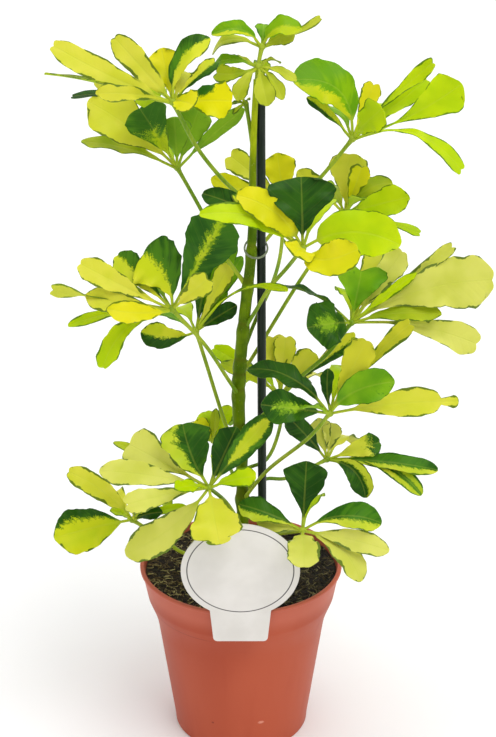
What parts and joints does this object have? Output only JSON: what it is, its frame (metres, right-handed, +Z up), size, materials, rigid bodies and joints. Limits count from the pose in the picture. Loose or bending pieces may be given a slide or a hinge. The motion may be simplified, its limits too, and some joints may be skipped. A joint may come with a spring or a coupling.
{
  "type": "potted umbrella plant",
  "caption": "Variegated umbrella plant with whorled cream, lime and green leaflets, tied to a stake in a terracotta-coloured plastic pot with a bare oval label.",
  "frame": {"origin": "centre of the pot's flat underside", "axes": "+Z up along the pot's axis; +Y away from the picture's camera; +X to the picture's right"},
  "size_m": [0.2459, 0.1833, 0.4243],
  "materials": {
    "pot_plastic": "satin",
    "potting_mix": "matt, fibrous",
    "stem": "satin, green bark",
    "stake_plastic": "satin",
    "tie_wire": "satin",
    "label_card": "smooth, slightly glossy",
    "leaf": "glossy, variegated cream, lime and dark green"
  },
  "bodies": {
    "root": {"pot": "pot_plastic", "soil": "potting_mix", "main_stem": "stem", "stake": "stake_plastic", "wire_tie": "tie_wire", "label": "label_card", "leaf_crown": "leaf", "leaf_bud": "leaf", "leaf_top_left": "leaf", "leaf_upper_left": "leaf", "leaf_top_right": "leaf", "leaf_front_centre": "leaf", "leaf_back_right": "leaf", "leaf_back_centre": "leaf", "leaf_right": "leaf", "leaf_lower_right": "leaf", "leaf_back_lower_right": "leaf", "leaf_pot_right": "leaf", "leaf_left": "leaf", "leaf_inner_left": "leaf", "leaf_lower_left": "leaf", "leaf_pot_left": "leaf", "leaf_back_left": "leaf", "leaf_back_middle": "leaf"}
  },
  "joints": []
}
